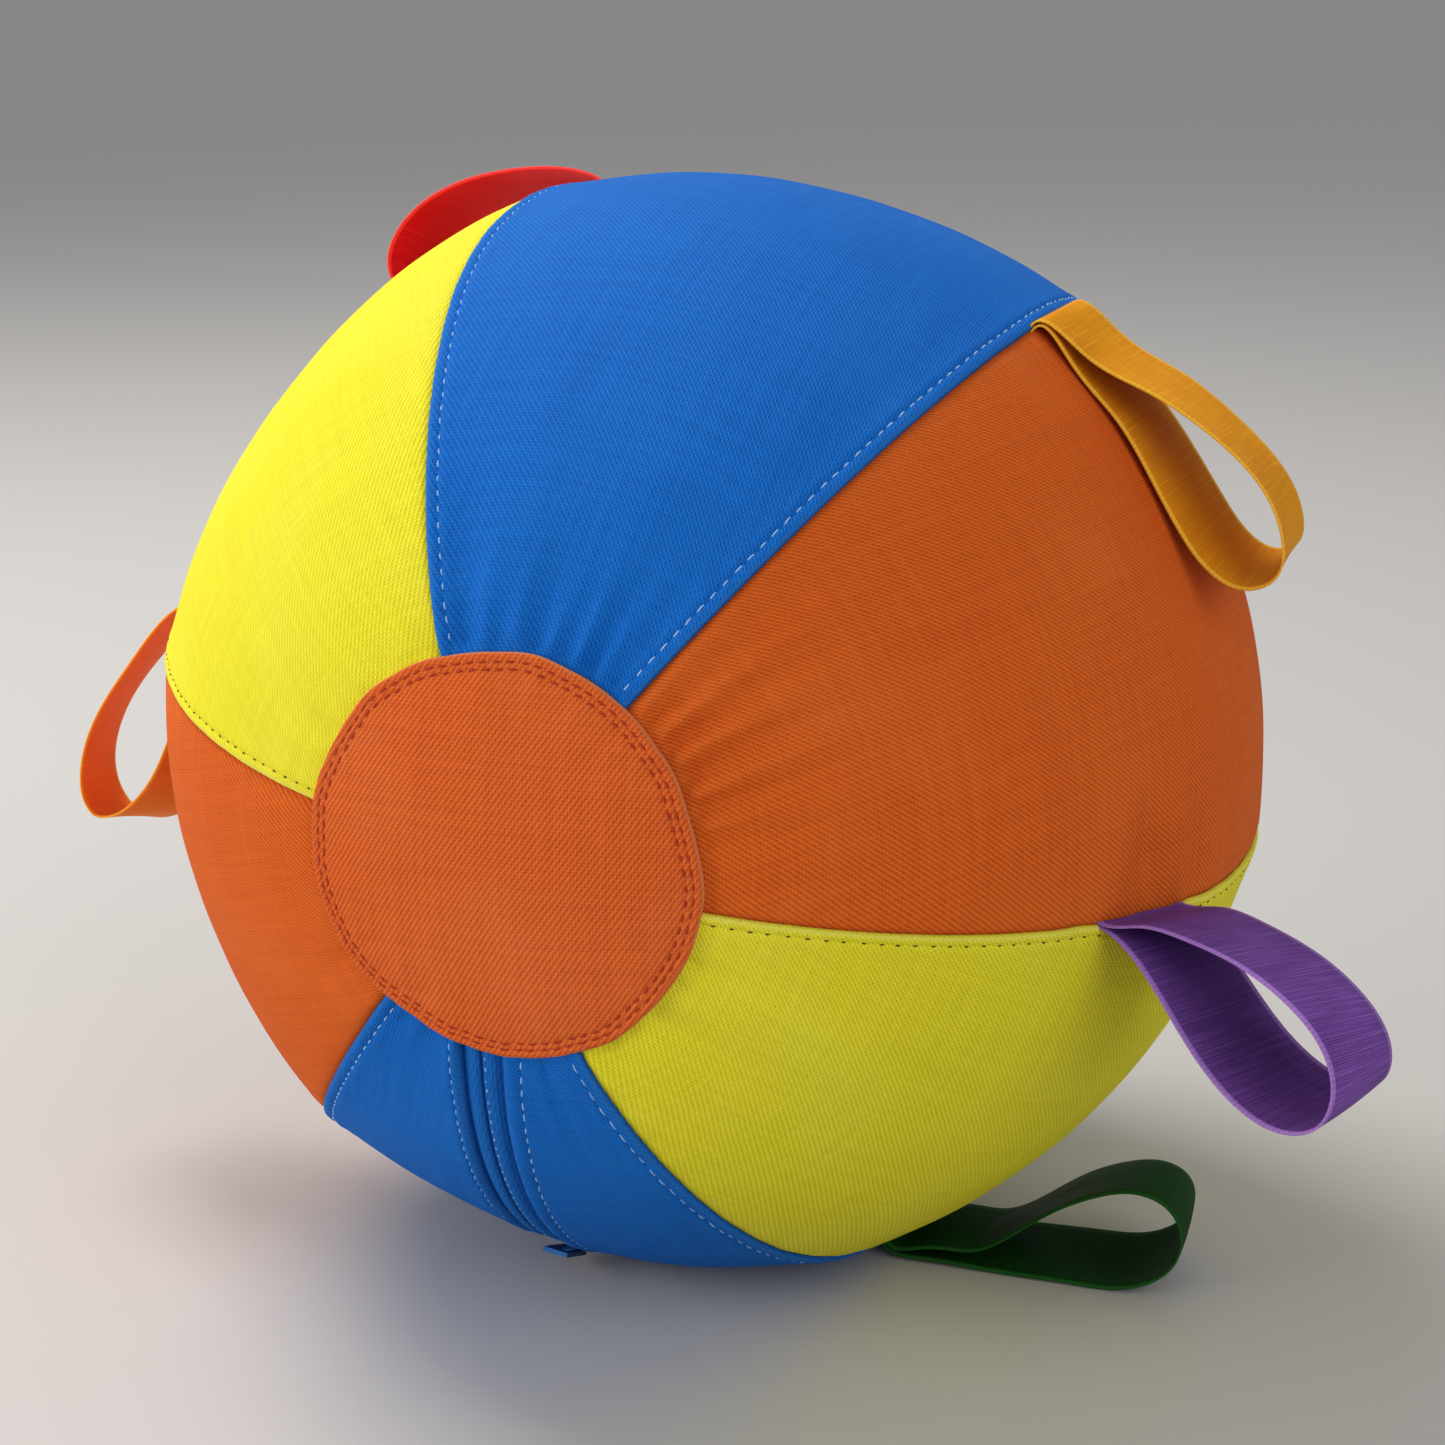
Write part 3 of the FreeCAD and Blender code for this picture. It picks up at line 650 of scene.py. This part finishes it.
def capHeight(inward, turn, side):
    # edge shape, the pull of the stitches, and faint ripples that fade towards the middle
    t = np.radians(turn) + (0 if side == "front" else .8)
    ripple = np.sin(31 * t + .5) * np.sin(12 * t + 1) * np.exp(-np.abs(inward - 4 * mm) / (5 * mm)) * .22
    pull = (np.sin(11 * t + 2.2) * .12 + np.sin(4 * t) * .16) * np.exp(-np.abs(inward - 8 * mm) / (8 * mm))
    return (np.interp(inward / mm, *capEdge) + ripple + pull) * mm


def capSurface(inward, turn, side):
    outline = capOutline(turn, side)
    polar = np.degrees((outline - inward) / ballRadius)
    crown = caps["crown"] * np.clip(inward / caps["crownReach"], 0, 1)
    height = capHeight(inward, turn, side) + crown
    angle = polar if side == "front" else 180 - polar
    return centre + (ballRadius + height)[..., None] * direction(turn, angle)


def sewCap(side):
    name = "cap_" + side
    turn = np.linspace(0, 360, caps["sides"], endpoint=False)[None, :]
    close = np.array(capSteps) * mm
    far = np.linspace(0, 1, caps["rings"] - len(close) + 1)[1:] ** .9
    outline = capOutline(turn, side)
    middle = close[-1] + (outline - close[-1]) * far[:-1, None]
    inward = np.concatenate([close[:, None] + 0 * turn, middle], axis=0)
    turnFull = turn + 0 * inward
    points = capSurface(inward, turnFull, side).reshape(-1, 3)
    rows, columns = inward.shape
    poleUp = direction(np.array(0.0), np.array(0.0 if side == "front" else 180.0))
    pole = centre + (ballRadius + caps["poleHeight"] + caps["crown"]) * poleUp
    reach, t = outline - inward, np.radians(turnFull)
    uv = np.stack([reach * np.cos(t), reach * np.sin(t)], axis=-1).reshape(-1, 2)
    faces = gridFaces(rows, columns, True).tolist()
    last = (rows - 1) * columns
    faces += [[last + i, last + (i + 1) % columns, rows * columns] for i in range(columns)]
    if side == "back":
        faces = [face[::-1] for face in faces]
    fromEdge = np.append(inward.ravel(), .03)
    # pale mask on the cap's rolled edge: wear and a painted highlight along the roll
    wornAndHighlight = caps["wornAndHighlight"] * np.exp(-((fromEdge - caps["wornAndHighlightPlace"]) / caps["wornAndHighlightWidth"]) ** 2)
    piece = meshPiece(name + "_cloth", np.vstack([points, pole]), faces, np.vstack([uv, [0, 0]]),
                      {"fromSeam": fromEdge, "wearAndHighlight": wornAndHighlight})
    thicken(piece, caps["thickness"])
    dress(piece, slotOf[name])
    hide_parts(name)
    return piece


capPieces = [sewCap(side) for side in ("front", "back")]
print("caps sewn:", len(capPieces))

# stitches
# a stitch's mesh; how it narrows and dips to its ends; and how unlike its neighbours it is
stitchShape = {"sides": 6, "stations": 5, "narrow": .8, "flat": .75, "dip": .22 * mm,
               "placeError": .05, "turnError": .05, "lengthError": .07}
# width of each kind of thread, and how high its middle stands
threads = {"seam": (.34 * mm, .16 * mm), "zip": (.34 * mm, .14 * mm), "cap": (.52 * mm, .14 * mm),
           "tape": (.36 * mm, .1 * mm)}


def stitchRun(name, path, outward, pitch, length, width, rise, seed, slotName, nodes=(), lean=0.0):
    # each stitch is a short thread that comes up, lies on the cloth and goes down again:
    # its middle line is a parabola, its section an ellipse that narrows to the ends
    rng = np.random.default_rng(seed)
    run = np.concatenate([[0], np.cumsum(np.linalg.norm(np.diff(path, axis=0), axis=1))])
    count = int(run[-1] / pitch)
    at = (np.arange(count) + .5) * pitch + rng.normal(0, stitchShape["placeError"] * pitch, count)
    middle = np.stack([np.interp(at, run, path[:, k]) for k in range(3)], axis=1)
    up = np.stack([np.interp(at, run, outward[:, k]) for k in range(3)], axis=1)
    up /= np.linalg.norm(up, axis=1)[:, None]
    step = .3 * mm
    ahead = np.stack([np.interp(at + step, run, path[:, k]) - np.interp(at - step, run, path[:, k])
                      for k in range(3)], axis=1)
    ahead /= np.linalg.norm(ahead, axis=1)[:, None]
    sideways = np.cross(up, ahead)
    swing = rng.normal(0, stitchShape["turnError"], count) + lean
    ahead = ahead * np.cos(swing)[:, None] + sideways * np.sin(swing)[:, None]
    sideways = np.cross(up, ahead)
    half = length / 2 * (1 + rng.normal(0, stitchShape["lengthError"], count))
    u = np.linspace(-1, 1, stitchShape["stations"])
    ring = np.linspace(0, 2 * np.pi, stitchShape["sides"], endpoint=False)
    size = width / 2 * np.sqrt(1 - stitchShape["narrow"] * u ** 2)
    line = middle[:, None] + ahead[:, None] * (half[:, None] * u)[..., None]
    line = line + up[:, None] * (rise * (1 - u ** 2) - stitchShape["dip"] * u ** 2)[None, :, None]
    body = line[:, :, None] + sideways[:, None, None] * (size[:, None] * np.cos(ring))[None, :, :, None]
    tall = stitchShape["flat"] * size
    body = body + up[:, None, None] * (tall[:, None] * np.sin(ring))[None, :, :, None]
    stations, sides = stitchShape["stations"], stitchShape["sides"]
    one = gridFaces(stations, sides, True)
    each = stations * sides
    quads = (one[None] + (np.arange(count) * each)[:, None, None]).reshape(-1, 4).tolist()
    first = np.arange(sides)[::-1]
    ends = [(first + k * each).tolist() for k in range(count)]
    ends += [(np.arange(sides) + (stations - 1) * sides + k * each).tolist() for k in range(count)]
    piece = meshPiece(name, body.reshape(-1, 3), quads + ends)
    dress(piece, slotName)
    if nodes:
        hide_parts(*nodes)


def seamPath(gore, seam, offset, start, stop, turnAt=None):
    # a line of stitches on the gore's own surface, this far in from its seam
    polar = np.linspace(start, stop, 900)
    around = ballRadius * np.sin(np.radians(polar))
    base = seamTurns[seam] if turnAt is None else turnAt
    turn = base + np.degrees(offset / around)
    return goreSurface(gore, turn, polar), direction(turn, polar)


# node, gore and seam, then in millimetres the distance from the seam (towards larger turns is
# positive), the pitch and the length of a stitch
seamStitches = [
    ("thread_seam_blue_orange", "gore_blue_upper", 1, 2.5, 3.1, 2.35),
    ("thread_seam_yellow_blue", "gore_blue_upper", 2, -2.5, 3.0, 1.7),
    ("thread_seam_orange_yellow_left", "gore_yellow_upper", 3, -2.0, 3.2, 1.15),
    ("thread_seam_orange_blue", "gore_blue_lower_left", 4, 2.5, 3.0, 2.2),
    ("thread_seam_blue_yellow", "gore_blue_lower_right", 5, -2.5, 3.6, 2.9),
    ("thread_seam_orange_yellow_right", "gore_yellow_lower", 6, -2.0, 3.3, 1.15),
]
edgeStart = capAngle + .6
for row, (node, goreName, seam, offset, pitch, length) in enumerate(seamStitches):
    path, outward = seamPath(gores[goreName], seam, offset * mm, edgeStart, 180 - edgeStart)
    stitchRun(node.replace("thread", "stitches"), path, outward, pitch * mm, length * mm,
              *threads["seam"], 20 + row, slotOf[node], [node], lean=.05)
zipStitches = [("thread_zip_left", "gore_blue_lower_left", -6.1, 2.9, 2.1),
               ("thread_zip_right", "gore_blue_lower_right", 8.1, 3.3, 2.6)]
for row, (node, goreName, offset, pitch, length) in enumerate(zipStitches):
    path, outward = seamPath(gores[goreName], 0, offset * mm, edgeStart, zipSlot["end"], zipTurn)
    stitchRun(node.replace("thread", "stitches"), path, outward, pitch * mm, length * mm,
              *threads["zip"], 40 + row, slotOf[node], [node], lean=-.04)
for row, side in enumerate(("front", "back")):
    node = "thread_cap_" + side
    turn = np.linspace(0, 360, 1400)
    rings = []
    for inward in caps["stitchRows"]:
        path = capSurface(np.full_like(turn, inward), turn, side)
        rings.append((path, path - centre))
    for index, (path, outward) in enumerate(rings):
        stitchRun("stitches_cap_%s_%d" % (side, index + 1), path, outward, 2.6 * mm, 2.1 * mm,
                  *threads["cap"], 60 + 2 * row + index, slotOf[node], [node] if index == 0 else (),
                  lean=.12)
print("stitches laid")

# zip tapes
tapes = {"start": 17.4, "end": 75.5, "rows": 150, "meet": .03 * mm, "level": -1.35 * mm,
         "thickness": .45 * mm, "ripple": .05, "flatFrom": 60, "flatTo": 64, "flatShare": .25,
         "stitchEnd": 62, "stitchAside": .9 * mm, "stitchHeight": .42 * mm}
# columns of a tape's mesh, by distance from the meeting line, millimetres
tapeSteps = [0, .06, .12, .22, .35, .55, .8, 1.2, 1.6, 2.1, 2.6, 3, 3.4, 3.8, 4.2, 5.5, 7.5, 9.5]
# height of a tape over its own level: distance from the meeting line and height, millimetres
tapeShape = ([0, .1, .3, .8, 1.6, 2.4, 3.0, 3.5, 4.2, 9.5], [-.3, .05, .35, .55, .62, .5, .1, -.5, -.7, -.7])


def weaveTape(side):
    # a strip along the zip's line, slightly crowned between the meeting line and the folded edge
    name = "zip_tape_" + side
    sign = -1 if side == "left" else 1
    polar = np.linspace(tapes["start"], tapes["end"], tapes["rows"])[:, None]
    away = np.array(tapeSteps)[None, :] * mm
    around = ballRadius * np.sin(np.radians(polar))
    turn = zipTurn + sign * np.degrees((away + tapes["meet"]) / around)
    polarFull = polar + 0 * turn
    full = np.clip((tapes["flatTo"] - polarFull) / (tapes["flatTo"] - tapes["flatFrom"]), 0, 1)
    ripple = tapes["ripple"] * np.sin(polarFull * 4.1 + away / mm) * np.sin(polarFull * 2.3)
    share = tapes["flatShare"] + (1 - tapes["flatShare"]) * full
    height = tapes["level"] + (np.interp(away / mm, *tapeShape) * share + ripple * full) * mm
    points = settle(centre + (ballRadius + height)[..., None] * direction(turn, polarFull))
    uv = np.stack([sign * (away + 0 * turn), np.radians(polarFull) * ballRadius], axis=-1)
    faces = gridFaces(*turn.shape)
    if sign > 0:
        faces = faces[:, ::-1]
    piece = meshPiece(name + "_cloth", points, faces.tolist(), uv,
                      {"fromSeam": away + 0 * turn, "wearAndHighlight": 0 * turn})
    thicken(piece, tapes["thickness"])
    dress(piece, slotOf[name])
    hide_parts(name)


for side in ("left", "right"):
    weaveTape(side)
polar = np.linspace(edgeStart, tapes["stitchEnd"], 700)
tapeTurn = zipTurn + np.degrees(tapes["stitchAside"] / (ballRadius * np.sin(np.radians(polar))))
tapeOut = direction(tapeTurn, polar)
tapeLine = settle(centre + (ballRadius + tapes["level"] + tapes["stitchHeight"]) * tapeOut)
stitchRun("stitches_zip_tape", tapeLine, tapeOut, 2.8 * mm, 1.9 * mm, *threads["tape"], 50, "thread_pale")
print("zip tapes laid")

# ribbon loops
ribbonCut = {"half": 12.5 * mm, "thickness": .42 * mm, "steps": 190, "across": 15, "pivot": 1.4,
             "curl": .35 * mm, "wave": .25 * mm, "waveLength": 9 * mm, "floorGap": .35 * mm}
# how a ribbon leaves the seam: height and distance aside, millimetres and shares of the gap
ribbonRoot = {"aside": .3, "rows": ((-2.6, 1), (-.9, 1), (1.5, 1.3)),
              "bendFrom": -1.5 * mm, "bendTo": 11 * mm}
# each loop: seam, polar angle, twist to the nose (degrees), and its inside as points: height
# above the cover and distance round the ball, millimetres
loops = {
    "red": {"seam": 2, "polar": 110.0, "twist": 4, "path": [
        (7.1, 4.3), (11.2, 11.4), (15.5, 21.2), (18.5, 30.4), (19.4, 38.9), (17.6, 45.6),
        (13.3, 49.9), (7.3, 50.7), (2.8, 46.6), (1.5, 38.3), (1.4, 29), (1.5, 19.3), (1.5, 8.9)]},
    "gold": {"seam": 1, "polar": 87.0, "twist": -6, "path": [
        (1.5, -8.9), (1.5, -22.9), (1.4, -34.6), (1.9, -46.6), (4.2, -54.8), (8.6, -58.9),
        (13.6, -58.7), (16.8, -53.3), (16.7, -44.6), (13.4, -34.4), (8.5, -22.4), (4, -9.7)]},
    "purple": {"seam": 0, "polar": 66.5, "twist": 9, "path": [
        (9, 2.7), (18.1, 3.4), (30, 2.7), (42, 0.1), (49.4, -3.3), (52.5, -7.1), (52, -10.6),
        (47.6, -13.2), (38.7, -14.1), (28.9, -12.2), (19.3, -8), (9.5, -2.8)]},
    "green": {"seam": 5, "polar": 90.0, "twist": 6, "path": [
        (4.6, 7.7), (8.7, 16.3), (9.3, 25.1), (9.6, 35.1), (12.4, 43.4), (17.1, 49), (23, 50.6),
        (27.9, 48.6), (30.3, 45), (30.2, 40.5), (27.6, 35.4), (22.9, 30.2), (13, 17.5), (6.4, 6.2)]},
    "orange": {"seam": 3, "polar": 90.0, "twist": 14, "path": [
        (7.5, 1.7), (12.8, 6.3), (19.4, 13.6), (27.5, 21.7), (33.7, 28.6), (37.1, 34.2),
        (38, 39.5), (35.1, 43.7), (28.9, 44.6), (21.8, 42.3), (14.9, 36.8), (7.7, 25.5), (3.2, 11.7)]},
    "blue": {"seam": 4, "polar": 118.0, "twist": 5, "path": [
        (9, 1.8), (19, 2.9), (29, 2.1), (38, -0.9), (46, -5.5), (51, -9.6), (51.6, -13.4),
        (46.6, -15.5), (37.2, -13.9), (26.6, -10), (16.2, -5.4), (8, -1.9)]},
}


def foldLoop(colour, loop):
    # a flat ribbon carried along its path out of the seam and back in; the width turns about the
    # path by the twist, most at the nose, and the edges curl a little
    t, p = math.radians(seamTurns[loop["seam"]]), math.radians(loop["polar"])
    up = direction(seamTurns[loop["seam"]], loop["polar"])
    along = np.array([math.cos(p) * math.cos(t), math.sin(p), math.cos(p) * math.sin(t)])
    roundBall = np.array([-math.sin(t), 0, math.cos(t)])
    height, arc = np.array(loop["path"], float).T
    reach, bend = ballRadius / mm + height, arc / (ballRadius / mm)
    bends = np.stack([reach * np.cos(bend) - ballRadius / mm, reach * np.sin(bend)], axis=1)
    first, last = bends[0] - (ribbonCut["pivot"], 0), bends[-1] - (ribbonCut["pivot"], 0)
    side = ribbonRoot["aside"] * np.sign(np.arctan2(first[1], first[0]) - np.arctan2(last[1], last[0]))
    leave = np.array([(rise, share * side) for rise, share in ribbonRoot["rows"]])
    path = np.vstack([leave, bends, leave[::-1] * (1, -1)])
    line, length = smoothPath(path * mm, ribbonCut["steps"])
    v = np.linspace(0, length, ribbonCut["steps"])
    ahead = np.gradient(line, axis=0)
    ahead /= np.linalg.norm(ahead, axis=1)[:, None]
    share = np.sin(np.pi * v / length) ** 2
    centreLine = (up * (ballRadius + line[:, :1]) + roundBall * line[:, 1:]) + centre
    forward = up * ahead[:, :1] + roundBall * ahead[:, 1:]
    normal = np.cross(along, forward)
    angle = np.radians(loop["twist"]) * share
    width = along * np.cos(angle)[:, None] + normal * np.sin(angle)[:, None]
    flatUp = np.cross(width, forward)
    s = np.linspace(-1, 1, ribbonCut["across"])
    offset = s * ribbonCut["half"]
    curl = (ribbonCut["curl"] * (s ** 2 - .3))[None, :] * share[:, None]
    wave = ribbonCut["wave"] * np.sin(v / ribbonCut["waveLength"])[:, None] * s[None, :] * share[:, None]
    points = centreLine[:, None] + width[:, None] * offset[None, :, None]
    points = points + flatUp[:, None] * (curl + wave)[..., None]
    points[..., 2] = np.maximum(points[..., 2], ribbonCut["floorGap"])
    uv = np.stack([offset[None, :] + 0 * v[:, None], v[:, None] + 0 * offset[None, :]], axis=-1)
    faces = gridFaces(ribbonCut["steps"], ribbonCut["across"]).tolist()
    piece = meshPiece("ribbon_" + colour, points, faces, uv)
    thicken(piece, ribbonCut["thickness"], 0.0)
    dress(piece, "ribbon_" + colour, None)
    root = centre + up * (ballRadius + ribbonCut["pivot"] * mm)
    out = centreLine[ribbonCut["steps"] // 4] + centreLine[-ribbonCut["steps"] // 4] - 2 * root
    out /= np.linalg.norm(out)
    start, end = root + out * ribbonRoot["bendFrom"], root + out * ribbonRoot["bendTo"]
    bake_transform(piece)
    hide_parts("tag_" + colour, "ribbon_end_" + colour)
    return piece


ribbonPieces = {colour: foldLoop(colour, loop) for colour, loop in loops.items()}
print("ribbon loops folded:", len(ribbonPieces))

# parts kept from the frame
for node in ("bladder", "bladder_valve", "zip_slider", "zip_pull", "zip_coil_left", "zip_coil_right",
             "zip_bottom_stop", "zip_top_stop_left", "zip_top_stop_right"):
    kept = frame["nodes"][node]
    kept.data.materials.clear()
    kept.data.materials.append(materials[slotOf[node]])
print("frame parts dressed")

# floor, light and camera
camera = {"place": (0.232916, -0.606937, 0.272381), "azimuth": 20.88, "elevation": 14.37, "lens": 82.2}
# each lamp: offset (right, away, up), size, power and tint
lamps = {
    "key light": ((-0.55, 0.55, 1.15), .7, 17.5, (1, .98, .95)),
    "fill light": ((0.9, -1.3, .7), 1.4, 11.5, (.95, .97, 1)),
    "left light": ((-1.3, -.45, .22), .9, 13.0, (1, .98, .96)),
}
room = {"colour": (.95, .97, 1.0, 1), "strength": 0.44}


def plainMaterial(name, colour, rough):
    maker = Maker(name)
    return maker.finish((*colour, 1), rough)


mesh = bpy.data.meshes.new("floor")
reachOut = 14.0
corners = [(-reachOut, -reachOut), (reachOut, -reachOut), (reachOut, reachOut), (-reachOut, reachOut)]
mesh.from_pydata([(x, y, 0) for x, y in corners], [], [(0, 1, 2, 3)])
floor = bpy.data.objects.new("floor", mesh)
floor.data.materials.append(plainMaterial("pale floor", (.50, .48, .46), .6))
bpy.context.scene.collection.objects.link(floor)

azimuth, elevation = math.radians(camera["azimuth"]), math.radians(camera["elevation"])
rightward = np.array([math.cos(azimuth), math.sin(azimuth), 0])
level = np.array([-math.sin(azimuth), math.cos(azimuth), 0])

lens = bpy.data.cameras.new("camera")
lens.lens = camera["lens"]
lens.sensor_width = 36
eye = bpy.data.objects.new("camera", lens)
eye.location = camera["place"]
eye.rotation_euler = (math.pi / 2 - elevation, 0, azimuth)
bpy.context.scene.collection.objects.link(eye)
bpy.context.scene.camera = eye


def softLight(name, offset, size, power, tint):
    # a square lamp at this offset (right, away, up) from the ball, turned towards it
    lamp = bpy.data.lights.new(name, "AREA")
    lamp.energy = power
    lamp.size = size
    lamp.color = tint
    light = bpy.data.objects.new(name, lamp)
    place = centre + rightward * offset[0] + level * offset[1] + np.array([0, 0, offset[2]])
    light.location = place
    towards = centre - place
    light.rotation_euler = (math.acos(-towards[2] / np.linalg.norm(towards)), 0,
                            math.atan2(towards[1], towards[0]) - math.pi / 2)
    bpy.context.scene.collection.objects.link(light)


for name, lampRow in lamps.items():
    softLight(name, *lampRow)
world = bpy.data.worlds.new("room")
world.use_nodes = True
world.node_tree.nodes["Background"].inputs["Color"].default_value = room["colour"]
world.node_tree.nodes["Background"].inputs["Strength"].default_value = room["strength"]
bpy.context.scene.world = world
bpy.context.scene.view_settings.view_transform = "Standard"   # plain colours, as on a print
print("stage set")
